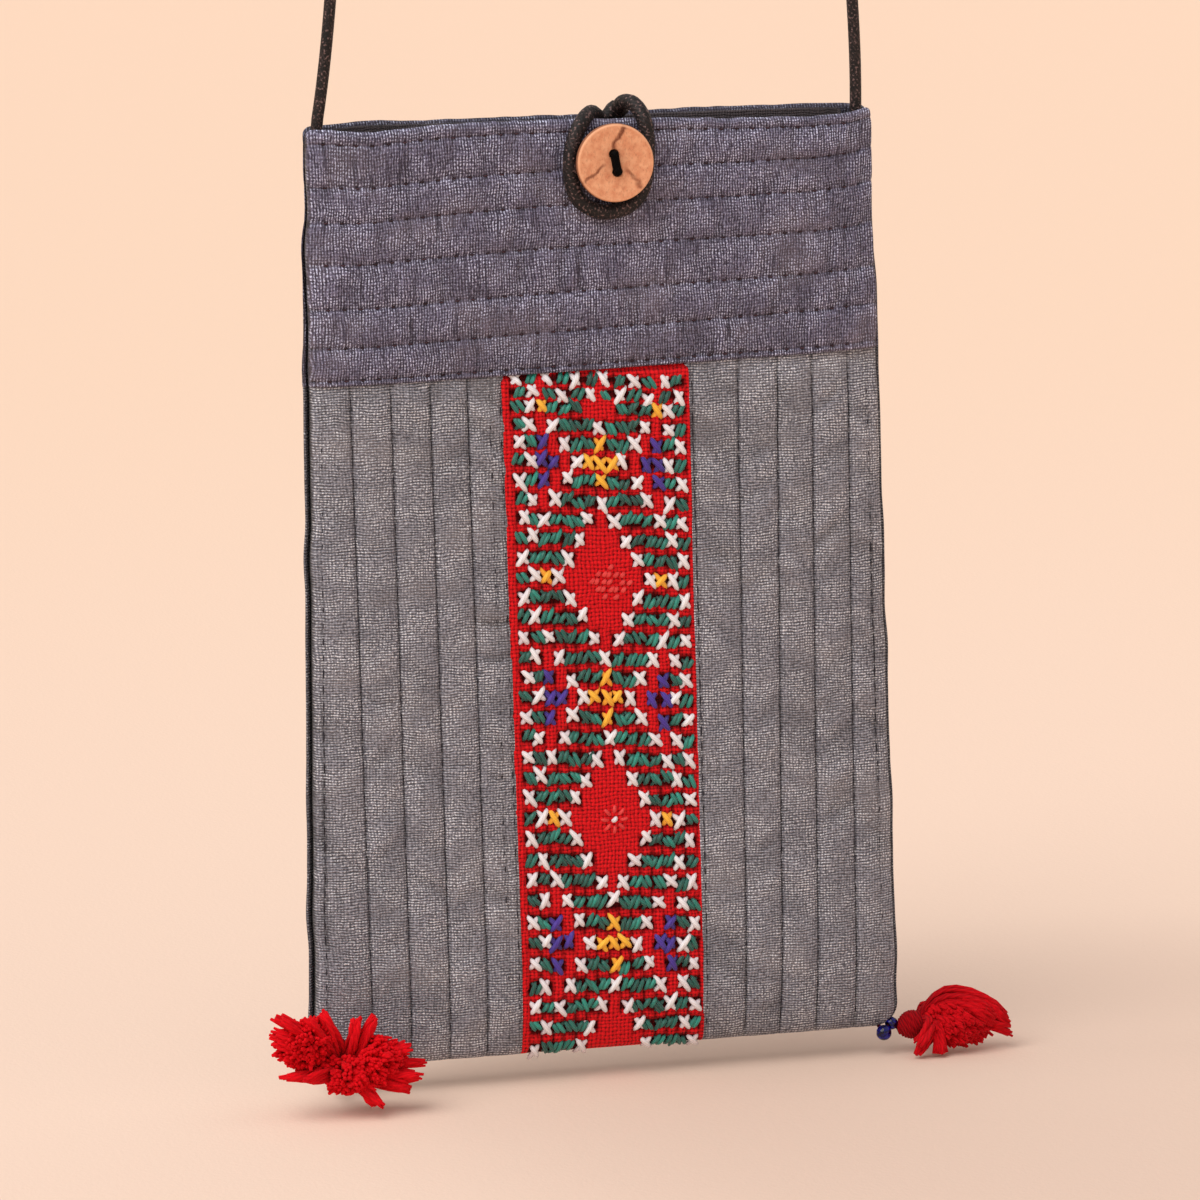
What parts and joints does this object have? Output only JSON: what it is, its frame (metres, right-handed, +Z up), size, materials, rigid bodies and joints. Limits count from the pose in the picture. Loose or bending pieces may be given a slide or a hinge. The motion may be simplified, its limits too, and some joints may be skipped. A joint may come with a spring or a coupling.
{
  "type": "phone sling bag",
  "caption": "Flat padded cloth pouch for a phone, with a cross-stitched strip, button and loop closing, corner tassels and a long cord strap to wear across the body.",
  "frame": {"origin": "underside of the strap's top bend, where it hangs from a hook or a shoulder", "axes": "+Z up along the hanging strap, the embroidered front faces -Y, +X to the right seen from the front"},
  "size_m": [0.1524, 0.035, 0.6974],
  "materials": {
    "slate_cloth": "shot silk with a soft sheen, slate purple, quilted in level rows",
    "grey_cloth": "shot silk with a soft sheen, warm grey, quilted in upright rows",
    "red_cloth": "matte coarse cotton with cross stitch in white, green, yellow and purple",
    "lining_cloth": "matte black cotton",
    "satin_cord": "satin-wound black cord",
    "button_shell": "polished tan shell with darker veins",
    "blue_glass": "dark blue glass",
    "red_cotton": "loose matte cotton thread"
  },
  "bodies": {
    "root": {"front_yoke": "slate_cloth", "front_left_panel": "grey_cloth", "front_right_panel": "grey_cloth", "embroidered_strip": "red_cloth", "back_yoke": "slate_cloth", "back_panel": "grey_cloth", "lining": "lining_cloth", "strap": "satin_cord", "button": "button_shell", "button_stitch": "satin_cord", "button_loop": "satin_cord", "thread_left": "red_cotton", "thread_right": "red_cotton", "bead_left_upper": "blue_glass", "bead_left_lower": "blue_glass", "bead_right_upper": "blue_glass", "bead_right_lower": "blue_glass", "tassel_left": "red_cotton", "tassel_right": "red_cotton"}
  },
  "joints": []
}
